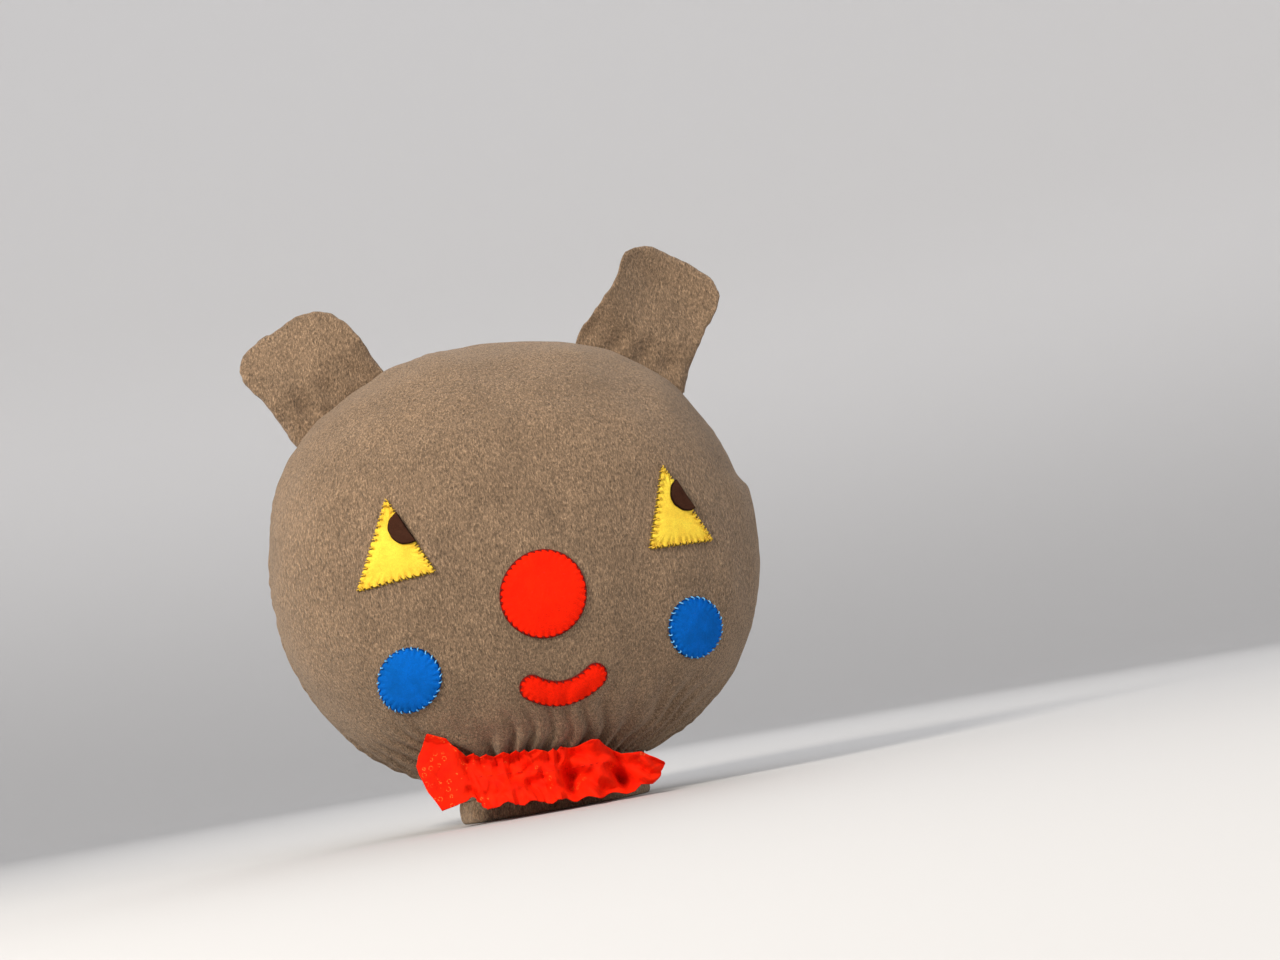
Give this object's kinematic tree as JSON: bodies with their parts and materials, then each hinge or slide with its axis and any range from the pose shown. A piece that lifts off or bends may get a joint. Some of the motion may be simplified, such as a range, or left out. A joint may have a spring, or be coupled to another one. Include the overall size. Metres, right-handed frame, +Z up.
{
  "type": "hand puppet",
  "caption": "Stuffed bear-head hand puppet in fleece with a felt clown face, two folding ears, a gathered neck ruffle and a pocket for the hand.",
  "frame": {"origin": "on the floor under the middle of the object, the face of the neck hem being Z = 0", "axes": "+Z up, the face looks towards -Y, +X is to the right of a person looking at the face"},
  "size_m": [0.2849, 0.1787, 0.3115],
  "materials": {
    "face_panel": "short-pile fleece",
    "back_panel": "short-pile fleece",
    "head_stuffing": "polyester fibre",
    "hand_pocket": "woven lining",
    "neck_cuff": "short-pile fleece",
    "neck_gathering_thread": "cotton thread",
    "left_eye": "felt",
    "right_eye": "felt",
    "left_pupil": "felt",
    "right_pupil": "felt",
    "left_eye_stitching": "cotton thread",
    "right_eye_stitching": "cotton thread",
    "left_cheek": "felt",
    "right_cheek": "felt",
    "left_cheek_stitching": "cotton thread",
    "right_cheek_stitching": "cotton thread",
    "nose": "felt",
    "nose_stitching": "cotton thread",
    "mouth": "felt",
    "mouth_stitching": "cotton thread",
    "ruffle_middle": "crinkled cotton",
    "ruffle_gathering_thread": "cotton thread",
    "left_ear_front": "short-pile fleece",
    "left_ear_back": "short-pile fleece",
    "left_ear_wadding": "polyester wadding",
    "right_ear_front": "short-pile fleece",
    "right_ear_back": "short-pile fleece",
    "right_ear_wadding": "polyester wadding",
    "ruffle_left_end": "crinkled cotton",
    "ruffle_right_end": "crinkled cotton"
  },
  "bodies": {
    "head": {"face_panel": "face_panel", "back_panel": "back_panel", "head_stuffing": "head_stuffing", "hand_pocket": "hand_pocket", "neck_cuff": "neck_cuff", "neck_gathering_thread": "neck_gathering_thread", "left_eye": "left_eye", "right_eye": "right_eye", "left_pupil": "left_pupil", "right_pupil": "right_pupil", "left_eye_stitching": "left_eye_stitching", "right_eye_stitching": "right_eye_stitching", "left_cheek": "left_cheek", "right_cheek": "right_cheek", "left_cheek_stitching": "left_cheek_stitching", "right_cheek_stitching": "right_cheek_stitching", "nose": "nose", "nose_stitching": "nose_stitching", "mouth": "mouth", "mouth_stitching": "mouth_stitching", "ruffle_middle": "ruffle_middle", "ruffle_gathering_thread": "ruffle_gathering_thread"},
    "left_ear": {"left_ear_front": "left_ear_front", "left_ear_back": "left_ear_back", "left_ear_wadding": "left_ear_wadding"},
    "right_ear": {"right_ear_front": "right_ear_front", "right_ear_back": "right_ear_back", "right_ear_wadding": "right_ear_wadding"},
    "ruffle_left": {"ruffle_left_end": "ruffle_left_end"},
    "ruffle_right": {"ruffle_right_end": "ruffle_right_end"}
  },
  "joints": [
    {"name": "left_ear_fold", "type": "hinge", "parent": "head", "child": "left_ear", "pos_m": [-0.091, 0, 0.24468], "axis": [0.866, 0, 0.5], "range_deg": [-60, 60], "stiffness_Nm_per_rad": 0.02},
    {"name": "right_ear_fold", "type": "hinge", "parent": "head", "child": "right_ear", "pos_m": [0.091, 0, 0.24468], "axis": [0.866, 0, -0.5], "range_deg": [-60, 60], "stiffness_Nm_per_rad": 0.02},
    {"name": "ruffle_left_flap", "type": "hinge", "parent": "head", "child": "ruffle_left", "pos_m": [-0.053, -0.05632, 0.02], "axis": [0, 0, 1], "range_deg": [0, 60], "stiffness_Nm_per_rad": 0.002},
    {"name": "ruffle_right_flap", "type": "hinge", "parent": "head", "child": "ruffle_right", "pos_m": [0.031, -0.06039, 0.02], "axis": [0, 0, -1], "range_deg": [0, 60], "stiffness_Nm_per_rad": 0.002}
  ]
}
